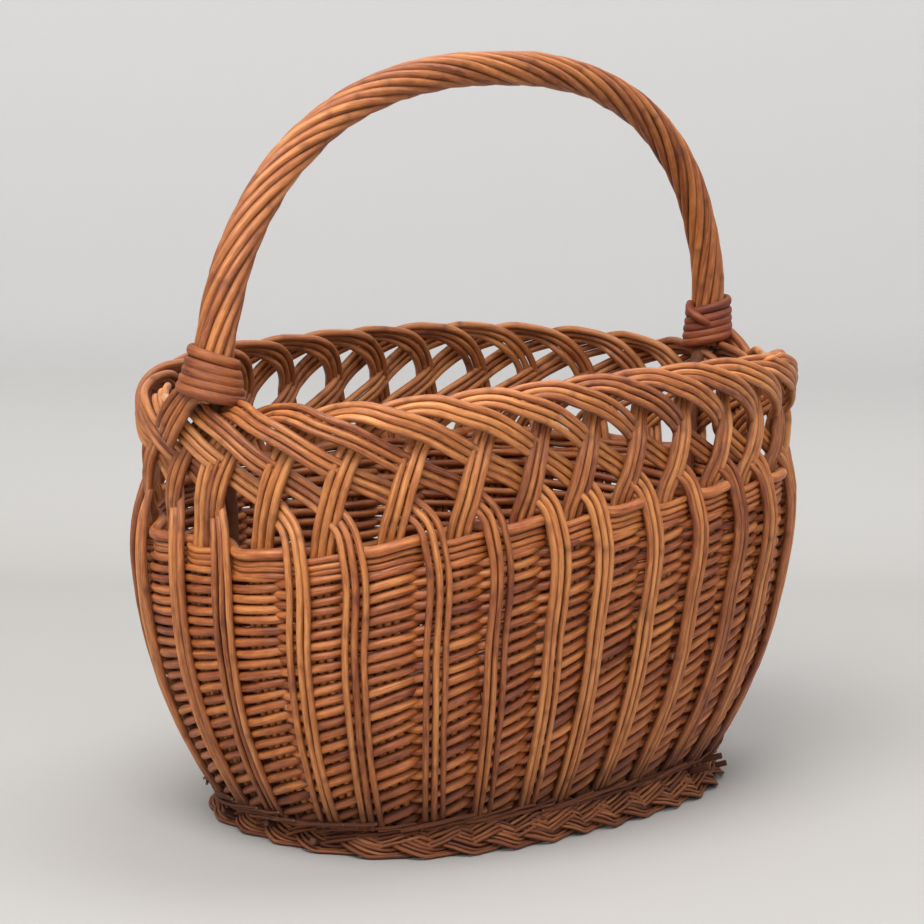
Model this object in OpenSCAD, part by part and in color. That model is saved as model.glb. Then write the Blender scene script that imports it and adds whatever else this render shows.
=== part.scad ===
// Open oval willow basket with a twisted bow handle, in millimetres.
// +Z is up, X runs along the length, and the origin is the middle of the foot on the floor.

/* [Wall] */
// Half length of the woven wall at its widest level
waist_half_length = 201; // [180:1:230]
// Half width of the woven wall at its widest level
waist_half_width = 134; // [110:1:145]
// Half length of the woven wall where it meets the foot
foot_half_length = 151; // [140:1:170]
// Half width of the woven wall where it meets the foot
foot_half_width = 90; // [85:1:100]
// Half length of the open border at the rim
rim_half_length = 201.5; // [180:0.5:225]
// Half width of the open border at the rim
rim_half_width = 129; // [110:1:145]
// Height of the top of the close weave
waist_height = 186; // [165:1:200]
// Height of the middle of the rods that turn over the rim
rim_height = 255; // [240:1:265]
// Thickness of the close weave
weave_thickness = 6; // [4:0.5:7]
// How far the waist and rim dip at the ends and rise at the sides
saddle_dip = 5.5; // [0:0.5:10]
// How far the waist climbs from the middle to the +X end, and drops to the other end
waist_climb = 3.5; // [0:0.5:6]
// How far the rim sits off the middle, towards +X
rim_shift = 2.5; // [0:0.5:6]

/* [Rods] */
// Number of stake groups round the wall
stake_count = 30; // [26:2:34]
// Number of rods side by side in each stake group
rods_per_stake = 3; // [2:1:3]
// Diameter of a rod of the handle, the foot and the lappings
rod_diameter = 4.8; // [4:0.1:5.2]
// Diameter of a stake rod at its thick end, inside the wall
stake_butt = 4.9; // [4:0.1:5.2]
// Diameter of a stake rod at its thin end, down the outside of the wall
stake_tip = 3.7; // [3:0.1:4.5]
// Sides of the drawn cross-section of a stake rod
rod_sides = 4; // [4:1:6]

/* [Foot] */
// Half length of the plaited foot, measured to its outer edge
plait_half_length = 163; // [150:1:175]
// Half width of the plaited foot, measured to its outer edge
plait_half_width = 115; // [105:1:125]
// Width of the plait, from its inner edge to its outer edge
plait_width = 20; // [16:1:24]
// Height of the plaited foot
plait_height = 20; // [16:1:22]
// Number of times that each strand crosses the plait, all the way round
plait_turns = 11; // [9:1:13]

/* [Base] */
// Height of the underside of the woven base above the floor
base_lift = 6; // [5:0.5:9]
// Thickness of the woven base
base_thickness = 8; // [7:0.5:9]
// Number of thick sticks that run along the base
long_stick_count = 3; // [3:1:5]
// Number of thick sticks that run across the base
cross_stick_count = 7; // [5:1:9]

/* [Handle] */
// Half the distance between the two legs of the bow
bow_half_span = 202.5; // [190:0.5:210]
// Distance that the bow's legs sit off the middle, towards +X
bow_shift = 2; // [0:1:8]
// How far the top of the bow leans over to +X
bow_lean = 10; // [0:1:12]
// Height of the middle of the bow at its top
bow_height = 427.5; // [400:0.5:450]
// Number of rods twisted round the core
handle_rods = 10; // [8:1:10]
// Turns that each rod makes round the core, from leg to leg
handle_twists = 3; // [2:0.25:5]
// Turns of the lapping that binds each leg to the rim
lapping_turns = 5; // [3:1:6]

/* [Hidden] */

willow = "peru";
willow_dark = "sienna";
willow_brown = "saddlebrown";
willow_old = "#4a3020";

corner_power = 2.65;         // squareness of the oval: 2 is an ellipse
belly_power = 2.5;           // how quickly the wall turns upright above the foot
bow_power = 2.37;            // squareness of the bow
bow_foot = 250;              // height where the bow's curve starts, straight up
wall_foot = 10;              // height at which the wall starts to curve outwards
plan_steps = 360;            // chords used to measure the girth
siding_split = 97;           // height where one set of weavers ends and the next begins
siding_bottom = 20;
siding_columns = 60;
siding_levels = 3;
wale_height = 11;
wale_width = 8;
wale_columns = 60;
plait_strands = 3;
plait_rings = 66;
sole_thickness = 4;
stick_diameter = 5.5;
base_gap = 3;                // room between the base and the wall
core_diameter = 9;
core_sides = 8;
core_rings = 34;
handle_rod_sides = 4;
handle_rings = 44;
lapping_radius = 12.5;       // middle of the lapping's rod, at its top turn
lapping_lean_angle = 4;      // arc of the bow that the lapping follows
left_flare = 1.1;            // each lower turn of the left lapping is this much wider
right_flare = 0.3;
leg_splice_height = 252;     // above this level the legs are part of the bow
tail_rods = 4;

// Route of one stake: pitches to the right, height, distance outside the wall's middle, and how far
// the band of rods has tipped over the rim, in degrees.
stake_inside = -weave_thickness / 2 - stake_butt / 2 - 0.2;
rib_outside = weave_thickness / 2 + stake_tip / 2 + 2.6;
stake_route = [
    [0, 16, stake_inside, 0],
    [0, 167, stake_inside, 0],
    [0.04, 187, -4.5, 0],
    [0.2, 204, 2.8, 0],
    [0.37, 221, 3, 0],
    [0.57, 236, -1.5, 0],
    [0.82, 246.5, -5, 10],
    [1.08, 252, -4, 35],
    [1.4, 254.5, -1, 45],
    [1.72, 254, 3, 30],
    [2.05, 250, 6.5, 10],
    [2.53, 243, 7.5, 0],
    [3.05, 231, 5, 0],
    [3.45, 221, -2, 0],
    [4.05, 207, -2.2, 0],
    [4.38, 195, 4, 0],
    [4.5, 179, rib_outside, 0],
    [4.5, 120, rib_outside, 0],
    [4.5, 65, rib_outside, 0],
    [4.5, 24, rib_outside, 0]
];
// Route of a leg of the handle inside the wall: height, and distance outside the wall's middle.
leg_route = [[100, -14], [150, -14], [200, -13], [235, -8]];
// Route of the handle rod ends below the lapping: pitches to the side, height, distance outside, tilt.
tail_route = [
    [0, 268, 6, 30],
    [-0.16, 262, 10.5, 25],
    [-0.33, 254, 13, 8],
    [-0.5, 246, 13.5, 0],
    [-0.66, 238, 12, 0]
];

function two_digits(k) = k < 10 ? str("0", k) : str(k);
function stake_name(k) = str("stake_group_", two_digits(k));
function handle_rod_name(k) = str("handle_rod_", two_digits(k));
function signed_power(v, p) = sign(v) * pow(abs(v), p);
function plan_x(t) = signed_power(cos(t), 2 / corner_power);
function plan_y(t) = signed_power(sin(t), 2 / corner_power);
function unit(v) = v / norm(v);

// Girth of the waist, measured chord by chord, gives equal pitches between the stakes.
function waist_xy(t) = [waist_half_length * plan_x(t), waist_half_width * plan_y(t)];
function plan_chord(i) = norm(waist_xy(i * 360 / plan_steps) - waist_xy((i - 1) * 360 / plan_steps));
plan_run = [for (i = 0, run = 0; i <= plan_steps; i = i + 1, run = run + plan_chord(i)) run];
pitch_angles = [
    for (i = [0:plan_steps]) [plan_run[i] / plan_run[plan_steps] * stake_count, i * 360 / plan_steps]
];
function plan_angle(pitch) = lookup(pitch - stake_count * floor(pitch / stake_count), pitch_angles);

// Half length or half width of the wall at a height, from its values at the foot, waist and rim.
function below_waist(z) = min(1, z / waist_height);
function above_waist(z) = max(0, (z - waist_height) / (rim_height - waist_height));
function wall_half(z, foot, waist, rim) =
    z < waist_height
        ? waist - (waist - foot) * pow(1 - (z - wall_foot) / (waist_height - wall_foot), belly_power)
        : waist + (rim - waist) * above_waist(z);
function half_length(z) = wall_half(z, foot_half_length, waist_half_length, rim_half_length);
function half_width(z) = wall_half(z, foot_half_width, waist_half_width, rim_half_width);
function rise(t, z) =
    waist_climb * plan_x(t) * (below_waist(z) - above_waist(z))
    - saddle_dip * cos(2 * t) * below_waist(z);
function wall_point(pitch, z, outside) =
    let (t = plan_angle(pitch))
    [
        (half_length(z) + outside) * plan_x(t) + rim_shift * above_waist(z),
        (half_width(z) + outside) * plan_y(t),
        z + rise(t, z)
    ];
function wall_normal(pitch, z, outside) =
    unit(wall_point(pitch, z, outside + 5) - wall_point(pitch, z, outside));
function tipped(normal, tilt) = unit(normal * cos(tilt) + [0, 0, sin(tilt)]);

// Tangent, and the band's sideways direction, at each point of a route.
function tangent(points, i) =
    unit(points[min(i + 1, len(points) - 1)] - points[max(i - 1, 0)]);
function sideways(points, normals, i) = unit(cross(tangent(points, i), normals[i]));

// Diameter of a rod at point i of count, from its thick end to its thin end.
function taper(ends, i, count) = ends[0] + (ends[1] - ends[0]) * i / (count - 1);

// A solid rod along the points, with the normals keeping its cross-section from turning.
module swept_rod(points, normals, diameters, sides) {
    count = len(points);
    rings = [
        for (i = [0:count - 1])
            let (
                radius = taper(diameters, i, count) / 2,
                across = sideways(points, normals, i),
                up = cross(across, tangent(points, i))
            )
            for (j = [0:sides - 1])
                points[i] + radius * (cos(j * 360 / sides) * across + sin(j * 360 / sides) * up)
    ];
    walls = [
        for (i = [0:count - 2], j = [0:sides - 1])
            let (a = i * sides + j, b = i * sides + (j + 1) % sides)
            for (face = [[a, b, b + sides], [a, b + sides, a + sides]]) face
    ];
    first_cap = [for (j = [0:sides - 1]) sides - 1 - j];
    last_cap = [for (j = [0:sides - 1]) (count - 1) * sides + j];
    polyhedron(rings, concat(walls, [first_cap, last_cap]));
}

// A closed ring with the same cross-section, points(i, j), at every one of its columns.
module closed_ring(points, columns, corners) {
    walls = [
        for (i = [0:columns - 1], j = [0:corners - 1])
            let (
                next = (i + 1) % columns * corners,
                a = i * corners + j,
                b = i * corners + (j + 1) % corners,
                c = next + (j + 1) % corners,
                d = next + j
            )
            for (face = [[a, b, c], [a, c, d]]) face
    ];
    polyhedron(points, walls);
}

// Rods laid side by side along one route, each with these diameters at its two ends.
module rod_band(points, normals, diameters, rods) {
    count = len(points);
    for (rod = [0:rods - 1]) {
        place = rod - (rods - 1) / 2;
        shifted = [
            for (i = [0:count - 1])
                points[i] + place * (taper(diameters, i, count) + 0.1) * sideways(points, normals, i)
        ];
        swept_rod(shifted, normals, diameters, rod_sides);
    }
}

module route_band(first_pitch, route, diameters, rods) {
    points = [for (r = route) wall_point(first_pitch + r[0], r[1], r[2])];
    normals = [for (r = route) tipped(wall_normal(first_pitch + r[0], r[1], r[2]), r[3])];
    rod_band(points, normals, diameters, rods);
}

module stake_group(k) {
    color(k % 2 == 0 ? willow : willow_dark)
        route_band(k - 1, stake_route, [stake_butt, stake_tip], rods_per_stake);
}

module oval(half_x, half_y) {
    polygon([for (t = [0:6:354]) [half_x * plan_x(t), half_y * plan_y(t)]]);
}

// Plaited foot: a flat trodden sole, and three strands that cross over and under above it.
function plait_point(strand, i) =
    let (
        t = i * 360 / plait_rings,
        phase = strand * 360 / plait_strands + plait_turns * t,
        middle = plait_width / 2,
        swing = (plait_width - rod_diameter * 1.6) / 2 * sin(phase),
        lift = (plait_height - sole_thickness) / 2 - rod_diameter * 0.8
    )
    [
        (plait_half_length - middle + swing) * plan_x(t),
        (plait_half_width - middle + swing) * plan_y(t),
        sole_thickness + (plait_height - sole_thickness) / 2 + lift * sin(2 * phase)
    ];

module foot_plait() {
    color(willow_old) {
        linear_extrude(sole_thickness)
            difference() {
                oval(plait_half_length, plait_half_width);
                oval(plait_half_length - plait_width, plait_half_width - plait_width);
            }
        for (strand = [0:plait_strands - 1]) {
            corners = [[-1, -1], [1, -1], [1, 1], [-1, 1]];
            points = [
                for (i = [0:plait_rings - 1])
                    let (
                        middle = plait_point(strand, i),
                        outward = unit([middle[0], middle[1], 0])
                    )
                    for (c = corners)
                        middle + rod_diameter * 0.8 * (c[0] * outward + c[1] * [0, 0, 1])
            ];
            closed_ring(points, plait_rings, 4);
        }
    }
}

function stick_place(k, count, half) = (k - (count - 1) / 2) * 2 * half / (count + 1);

module stick_row(count, along, across, height, along_x) {
    for (k = [0:count - 1]) {
        place = stick_place(k, count, across);
        reach = along * pow(1 - pow(abs(place) / across, corner_power), 1 / corner_power) - base_gap;
        rotate([0, 0, along_x ? 0 : 90])
            translate([0, along_x ? place : -place, height])
                rotate([0, 90, 0])
                    cylinder(h = 2 * reach, d = stick_diameter, center = true, $fn = 24);
    }
}

base_half_length = plait_half_length - plait_width;
base_half_width = plait_half_width - plait_width;

module long_sticks() {
    stick_row(long_stick_count, base_half_length, base_half_width, base_lift + stick_diameter, true);
}

module cross_sticks() {
    stick_row(cross_stick_count, base_half_width, base_half_length, base_lift + 0.1, false);
}

module base_long_sticks() {
    color(willow_dark) long_sticks();
}

module base_cross_sticks() {
    color(willow_brown) cross_sticks();
}

module base_weave() {
    color(willow)
        difference() {
            translate([0, 0, base_lift])
                linear_extrude(base_thickness)
                    oval(base_half_length - base_gap, base_half_width - base_gap);
            long_sticks();
            cross_sticks();
        }
}

// Close weave between two heights, as a shell with the weave's thickness.
module siding(low, high) {
    inner = -weave_thickness / 2;
    outer = weave_thickness / 2;
    rising = [for (i = [0:siding_levels]) low + (high - low) * i / siding_levels];
    section = concat(
        [for (i = [0:siding_levels]) [rising[i], outer]],
        [for (i = [siding_levels:-1:0]) [rising[i], inner]]
    );
    points = [
        for (i = [0:siding_columns - 1], s = section)
            wall_point(i * stake_count / siding_columns, s[0], s[1])
    ];
    closed_ring(points, siding_columns, len(section));
}

module siding_lower() {
    color(willow) siding(siding_bottom, siding_split);
}

module siding_upper() {
    color(willow) siding(siding_split, waist_height - wale_height);
}

module waist_wale() {
    corners = 6;
    points = [
        for (i = [0:wale_columns - 1], j = [0:corners - 1])
            wall_point(
                i * stake_count / wale_columns,
                waist_height - wale_height / 2 + wale_height / 2 * sin(j * 360 / corners + 30),
                1 + wale_width / 2 * cos(j * 360 / corners + 30)
            )
    ];
    color(willow_dark) closed_ring(points, wale_columns, corners);
}

// Middle of the bow at an angle, from 180 at the left leg to 0 at the right one.
function bow_point(angle) =
    let (risen = signed_power(sin(angle), 2 / bow_power))
    [
        bow_shift + bow_half_span * signed_power(cos(angle), 2 / bow_power) + bow_lean * risen,
        0,
        bow_foot + (bow_height - bow_foot) * risen
    ];
bow_start = asin(pow((leg_splice_height - bow_foot) / (bow_height - bow_foot), bow_power / 2));
function bow_angle(fraction) = 180 - bow_start - fraction * (180 - 2 * bow_start);
function bow_outward(angle) =
    let (along = unit(bow_point(angle - 1) - bow_point(angle + 1)))
    [-along[2], 0, along[0]];
function leg_point(side, r) = [side * (half_length(r[0]) + r[1]), 0, r[0] - saddle_dip];

core_points = concat(
    [for (r = leg_route) leg_point(-1, r)],
    [for (i = [0:core_rings]) bow_point(bow_angle(i / core_rings))],
    [for (i = [len(leg_route) - 1:-1:0]) leg_point(1, leg_route[i])]
);

module handle_core() {
    normals = [for (p = core_points) [0, 1, 0]];
    color(willow_brown) swept_rod(core_points, normals, [core_diameter, core_diameter], core_sides);
}

module handle_rod(k) {
    helix_radius = (core_diameter + rod_diameter) / 2 + 0.4;
    turn = k * 360 / handle_rods;
    radials = [
        for (i = [0:handle_rings])
            let (angle = bow_angle(i / handle_rings), twist = turn - 360 * handle_twists * i / handle_rings)
            bow_outward(angle) * cos(twist) + [0, sin(twist), 0]
    ];
    points = [
        for (i = [0:handle_rings]) bow_point(bow_angle(i / handle_rings)) + helix_radius * radials[i]
    ];
    color(k % 2 == 0 ? willow : willow_dark)
        swept_rod(points, radials, [rod_diameter, rod_diameter], handle_rod_sides);
}

// Lapping: turns of one rod round the foot of the bow, side by side, wider towards the rim.
module lapping(side, flare) {
    low = bow_point(90 + side * (bow_start - 90));
    high = bow_point(90 + side * (bow_start - 90 + lapping_lean_angle));
    lean = atan2(high[0] - low[0], high[2] - low[2]);
    for (turn = [0:lapping_turns - 1])
        translate(low + unit(high - low) * rod_diameter * (turn + 0.4))
            rotate([0, lean, 0])
                rotate_extrude($fn = 48)
                    translate([lapping_radius + flare * (lapping_turns - 1 - turn), 0])
                        circle(d = rod_diameter - 0.1, $fn = 16);
}

module left_lapping() {
    color("brown") lapping(-1, left_flare);
}

module right_lapping() {
    color("brown") lapping(1, right_flare);
}

module tails(first_pitch) {
    color(willow) route_band(first_pitch, tail_route, [rod_diameter, rod_diameter], tail_rods);
}

module left_tails() {
    tails(stake_count / 2);
}

module right_tails() {
    tails(0);
}

foot_plait();
base_long_sticks();
base_cross_sticks();
base_weave();
siding_lower();
siding_upper();
waist_wale();
for (k = [1:stake_count]) {
    stake_group(k);
}
handle_core();
for (k = [1:handle_rods]) {
    handle_rod(k);
}
left_lapping();
right_lapping();
left_tails();
right_tails();
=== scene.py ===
import math

import bpy
import numpy as np
from mathutils import Matrix, Vector


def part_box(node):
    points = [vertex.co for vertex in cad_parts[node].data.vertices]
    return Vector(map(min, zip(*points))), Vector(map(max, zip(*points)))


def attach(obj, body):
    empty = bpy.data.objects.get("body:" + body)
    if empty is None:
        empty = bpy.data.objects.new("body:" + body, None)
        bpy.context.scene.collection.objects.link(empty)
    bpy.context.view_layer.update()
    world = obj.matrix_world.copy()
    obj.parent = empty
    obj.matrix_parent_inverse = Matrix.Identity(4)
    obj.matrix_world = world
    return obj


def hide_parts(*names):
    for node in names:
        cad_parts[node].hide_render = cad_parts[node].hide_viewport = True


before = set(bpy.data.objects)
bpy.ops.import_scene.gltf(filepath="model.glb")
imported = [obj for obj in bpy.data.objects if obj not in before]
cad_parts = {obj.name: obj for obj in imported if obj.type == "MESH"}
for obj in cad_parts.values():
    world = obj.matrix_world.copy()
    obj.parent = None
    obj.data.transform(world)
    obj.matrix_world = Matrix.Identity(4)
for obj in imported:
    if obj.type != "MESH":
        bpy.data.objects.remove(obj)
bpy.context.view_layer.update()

MM = 0.001
BODY = "root"
BACK = np.array([0, 1.0, 0])
UP = np.array([0, 0, 1.0])
RNG = np.random.RandomState(20)

# ---------------------------------------------------------------- the basket's form

STAKE_NODES = sorted(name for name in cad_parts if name.startswith("stake_group_"))
HANDLE_NODES = sorted(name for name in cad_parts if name.startswith("handle_rod_"))
STAKES = len(STAKE_NODES)

upper_low, upper_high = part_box("siding_upper")
_, wale_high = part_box("waist_wale")
_, foot_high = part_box("foot_plait")
core_low, core_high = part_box("handle_core")
_, stake_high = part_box(STAKE_NODES[len(STAKE_NODES) // 4])

# The plan is an oval with full corners: at power 2 it would be an ellipse.
CORNER_POWER = 2.65
# The wall bellies out quickly above the foot, and is almost upright under the waist.
BELLY_POWER = 2.5
# From the waist up, each level sinks by this at the two ends and rises by it in between.
SADDLE = 5.5 * MM
# The waist stands this much higher at the right end, and as much lower at the left one.
CLIMB = 3.5 * MM

# Half length and half width of the middle of the wall, at three levels. The rim is shifted
# a little to the right.
HALF_WEAVE = 3.0 * MM
WAIST = (upper_high.x - HALF_WEAVE, upper_high.y - HALF_WEAVE)
FOOT = (foot_high.x - 12 * MM, foot_high.y - 25 * MM)
RIM = (WAIST[0] + 0.5 * MM, WAIST[1] - 5 * MM)
RIM_SHIFT = 2.5 * MM

# Heights of those levels, without the saddle and the thickness of the rods.
WALL_FOOT_HEIGHT = 10 * MM
WAIST_HEIGHT = wale_high.z - 6.1 * MM
RIM_HEIGHT = stake_high.z - 9.6 * MM


def signed_power(value, power):
    """A power that keeps the value's sign."""
    return np.sign(value) * np.abs(value) ** power


def plan_tables():
    """The oval as unit coordinates against pitches: equal steps along the waist's girth.

    A pitch is the step from one stake group to the next. Pitch 0 is the middle of the right end,
    and they count on past the back to the left end and the front.
    """
    angle = np.linspace(0, 2 * math.pi, 5761)
    reach = (np.abs(np.cos(angle) / WAIST[0]) ** CORNER_POWER
             + np.abs(np.sin(angle) / WAIST[1]) ** CORNER_POWER) ** (-1 / CORNER_POWER)
    x, y = reach * np.cos(angle), reach * np.sin(angle)
    run = np.concatenate([[0], np.cumsum(np.hypot(np.diff(x), np.diff(y)))])
    return run / run[-1] * STAKES, x / WAIST[0], y / WAIST[1], run[-1] / STAKES


PITCHES, PLAN_X, PLAN_Y, PITCH = plan_tables()


def plan(pitch):
    """Unit coordinates on the oval at these pitches."""
    wrapped = np.mod(pitch, STAKES)
    return np.interp(wrapped, PITCHES, PLAN_X), np.interp(wrapped, PITCHES, PLAN_Y)


def above_waist(height):
    """0 up to the waist, then growing evenly to 1 at the rim."""
    return np.maximum(0, (height - WAIST_HEIGHT) / (RIM_HEIGHT - WAIST_HEIGHT))


def wall_half(height, side):
    """Half length (side 0) or half width (side 1) of the wall's middle at a height."""
    down = np.maximum(0, (WAIST_HEIGHT - height) / (WAIST_HEIGHT - WALL_FOOT_HEIGHT))
    return (WAIST[side] - (WAIST[side] - FOOT[side]) * down ** BELLY_POWER
            + (RIM[side] - WAIST[side]) * above_waist(height))


def wall(pitch, height, outside):
    """Points on the wall: pitches round it, nominal height and distance outside its middle."""
    pitch, height, outside = np.broadcast_arrays(
        np.asarray(pitch, float), np.asarray(height, float), np.asarray(outside, float))
    px, py = plan(pitch)
    saddle = np.abs(px) ** CORNER_POWER - np.abs(py) ** CORNER_POWER
    below = np.clip(height / WAIST_HEIGHT, 0, 1)
    rise = CLIMB * px * (below - above_waist(height)) - SADDLE * saddle * below
    return np.stack([
        (wall_half(height, 0) + outside) * px + RIM_SHIFT * above_waist(height),
        (wall_half(height, 1) + outside) * py,
        height + rise,
    ], -1)


def unit(vectors):
    """The same directions with length 1."""
    return vectors / np.maximum(np.linalg.norm(vectors, axis=-1, keepdims=True), 1e-12)


def wall_normal(pitch, height):
    """Directions straight out of the wall."""
    around = wall(pitch + 0.05, height, 0) - wall(pitch - 0.05, height, 0)
    upward = wall(pitch, height + 1 * MM, 0) - wall(pitch, height - 1 * MM, 0)
    return unit(np.cross(around, upward))


# ---------------------------------------------------------------- smooth routes and rods

def smooth_step(value):
    """0 below 0 and 1 above 1, with a soft change between."""
    value = np.clip(value, 0, 1)
    return value * value * (3 - 2 * value)


def hermite(knots, values, at):
    """Smooth curve through values at uneven knots, with slopes from the neighbours."""
    slopes = np.gradient(values, knots, axis=0)
    index = np.clip(np.searchsorted(knots, at, side="right") - 1, 0, len(knots) - 2)
    width = (knots[index + 1] - knots[index])[:, None]
    s = (at - knots[index])[:, None] / width
    return ((2 * s ** 3 - 3 * s ** 2 + 1) * values[index]
            + (s ** 3 - 2 * s ** 2 + s) * width * slopes[index]
            + (3 * s ** 2 - 2 * s ** 3) * values[index + 1]
            + (s ** 3 - s ** 2) * width * slopes[index + 1])


def wobble(length_along, scale, amount):
    """A few slow sine waves with random phases: how one hand-laid rod strays from its route."""
    total = np.zeros_like(length_along)
    for share, stretch in ((0.6, 1.0), (0.3, 0.43), (0.15, 0.21)):
        phase = RNG.uniform(0, 2 * math.pi)
        total = total + share * np.sin(2 * math.pi * length_along / (scale * stretch) + phase)
    return amount * total


def run_along(points):
    """Distance from the first point to each point along the line."""
    steps = np.linalg.norm(np.diff(points, axis=0), axis=1)
    return np.concatenate([[0], np.cumsum(steps)])


def resample(points, extra, step):
    """The same line in even steps, with the extra columns carried along."""
    run = run_along(points)
    count = max(int(round(run[-1] / step)), 4)
    at = np.linspace(0, run[-1], count + 1)
    even = np.stack([np.interp(at, run, points[:, i]) for i in range(3)], -1)
    others = np.stack([np.interp(at, run, extra[:, i]) for i in range(extra.shape[1])], -1)
    return even, others


def route_line(first_pitch, route, step):
    """Turns a route (pitches, height, outside, tilt) into points, normals and wall heights."""
    route = np.array(route, float)
    rough = wall(first_pitch + route[:, 0], route[:, 1] * MM, route[:, 2] * MM)
    knots = run_along(rough)
    fine = hermite(knots, route, np.linspace(0, knots[-1], 400))
    pitch = first_pitch + fine[:, 0]
    height = fine[:, 1] * MM
    points = wall(pitch, height, fine[:, 2] * MM)
    normals = wall_normal(pitch, height)
    tilt = np.radians(fine[:, 3])[:, None]
    normals = unit(normals * np.cos(tilt) + UP * np.sin(tilt))
    points, extra = resample(points, np.column_stack([normals, height]), step)
    return points, unit(extra[:, :3]), extra[:, 3]


def side_vectors(points, normals):
    """Directions across a band of rods that lies against the wall."""
    return unit(np.cross(unit(np.gradient(points, axis=0)), normals))


# Grain coordinates circle the rod at this radius, whatever its thickness.
GRAIN_RADIUS = 2.4 * MM
SCAR_LENGTH = 2.2 * MM
SCAR_SWELL = 0.07


def bud_scars(run, radius):
    """Swells the rod a little where buds grew, every 5 to 11 cm, and marks the places."""
    mark = np.zeros_like(run)
    place = RNG.uniform(0.01, 0.07)
    while place < run[-1]:
        bump = np.exp(-((run - place) / SCAR_LENGTH) ** 2)
        radius = radius * (1 + SCAR_SWELL * bump)
        mark = np.maximum(mark, bump)
        place += RNG.uniform(0.045, 0.11)
    return radius, mark


class RodMesh:
    """Collects rods into one mesh, with the attributes that the willow material reads."""

    def __init__(self, name):
        self.name = name
        self.points, self.faces, self.start = [], [], 0
        self.grain, self.tone, self.dirt, self.cut = [], [], [], []

    def rod(self, points, normals, radius, sides, tone, dirt, seam_shade=0.0,
            closed=False, scars=True, flat=1.0):
        """A rod along the points. Its normals face away from what it lies on.

        The tone runs from dark to light. The dirt and shade darkens the rod all round, as grime in
        some places and painted shade in others, and the seam shade is more painted shade down both
        sides and underneath, where the rod meets its neighbours and what it lies on. A flat below 1
        squashes the rod towards what it lies on.
        """
        count = len(points)
        if closed:
            along = unit(np.roll(points, -1, axis=0) - np.roll(points, 1, axis=0))
        else:
            along = unit(np.gradient(points, axis=0))
        side = unit(np.cross(along, normals))
        up = np.cross(side, along)
        run = run_along(points)
        radius = np.broadcast_to(np.asarray(radius, float), (count,)).copy()
        radius = radius * (1 + wobble(run, 0.05, 0.035))
        mark = np.zeros(count)
        if scars:
            radius, mark = bud_scars(run, radius)
        angle = np.arange(sides) * 2 * math.pi / sides
        ring = (np.cos(angle)[None, :, None] * side[:, None, :]
                + flat * np.sin(angle)[None, :, None] * up[:, None, :])
        body = points[:, None, :] + radius[:, None, None] * ring
        seed = RNG.uniform(0, 50)
        grain = np.empty((count, sides, 3))
        grain[..., 0] = np.cos(angle)[None, :] * GRAIN_RADIUS + seed
        grain[..., 1] = np.sin(angle)[None, :] * GRAIN_RADIUS
        grain[..., 2] = run[:, None]
        tone = np.broadcast_to(np.asarray(tone, float), (count,))
        dirt = np.broadcast_to(np.asarray(dirt, float), (count,))
        base = self.start
        self.points.append(body.reshape(-1, 3))
        self.grain.append(grain.reshape(-1, 3))
        self.tone.append(np.repeat(tone, sides))
        # Painted shade down both sides, where the rod meets its neighbours, and underneath, where
        # it lies on something; it is added to the dirt and shade and to the bud scars' marks.
        seam_shade_mask = seam_shade * np.abs(np.cos(angle)) ** 3 + 0.7 * seam_shade * np.maximum(0, -np.sin(angle))
        grime_and_shade = np.clip((dirt + 0.45 * mark)[:, None] + seam_shade_mask[None, :], 0, 1)
        self.dirt.append(grime_and_shade.ravel())
        self.cut.append(np.zeros(count * sides))
        rows = count if closed else count - 1
        i, j = np.meshgrid(np.arange(rows), np.arange(sides), indexing="ij")
        a = i * sides + j
        b = i * sides + (j + 1) % sides
        c = ((i + 1) % count) * sides + (j + 1) % sides
        d = ((i + 1) % count) * sides + j
        self.faces.append(np.stack([a, b, c, d], -1).reshape(-1, 4) + base)
        self.start += count * sides
        if not closed:
            self.cap(points[0], -along[0], body[0], grain[0], tone[0], dirt[0], base, True)
            last = base + (count - 1) * sides
            self.cap(points[-1], along[-1], body[-1], grain[-1], tone[-1], dirt[-1], last, False)

    def cap(self, centre, outward, rim, grain, tone, dirt, first, flip):
        """A rod's cut end: an inset ring and a middle point, a little domed."""
        sides = len(rim)
        inset = centre + 0.78 * (rim - centre) + outward * 0.35 * MM
        middle = centre + outward * 0.45 * MM
        base = self.start
        self.points.append(np.vstack([inset, middle]))
        self.grain.append(np.vstack([grain, grain.mean(0)]))
        self.tone.append(np.full(sides + 1, tone))
        self.dirt.append(np.full(sides + 1, dirt))
        self.cut.append(np.full(sides + 1, 1.0))
        j = np.arange(sides)
        k = (j + 1) % sides
        quads = np.stack([first + j, first + k, base + k, base + j], -1)
        fan = np.stack([base + j, base + k, np.full(sides, base + sides), np.full(sides, -1)], -1)
        if flip:
            quads = quads[:, ::-1]
            fan = fan[:, [1, 0, 2, 3]]
        self.faces.append(quads)
        self.faces.append(fan)
        self.start += sides + 1

    def build(self, material, slot, *nodes):
        """Makes the piece, puts it on the body and hides the plain solids that it takes the place
        of.
        """
        points = np.vstack(self.points)
        faces = [tuple(int(v) for v in f if v >= 0) for f in np.vstack(self.faces)]
        mesh = bpy.data.meshes.new(self.name)
        mesh.from_pydata(points.tolist(), [], faces)
        mesh.update()
        grain = mesh.attributes.new("grain", "FLOAT_VECTOR", "POINT")
        grain.data.foreach_set("vector", np.vstack(self.grain).ravel())
        # The dirt and shade attribute carries grime and painted shade together to the willow
        # material.
        for label, values in (("tone", self.tone), ("dirt", self.dirt), ("cut", self.cut)):
            layer = mesh.attributes.new(label, "FLOAT", "POINT")
            layer.data.foreach_set("value", np.concatenate(values))
        mesh.polygons.foreach_set("use_smooth", [True] * len(mesh.polygons))
        mesh.materials.append(material)
        piece = bpy.data.objects.new(self.name, mesh)
        bpy.context.scene.collection.objects.link(piece)
        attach(piece, BODY)
        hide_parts(*nodes)


# ---------------------------------------------------------------- willow

# Dark reddish brown for grime and for painted shade in the gaps and recesses between rods.
GRIME_AND_SHADE = (0.052, 0.011, 0.004)
CUT_WOOD = (0.55, 0.36, 0.19)


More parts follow.
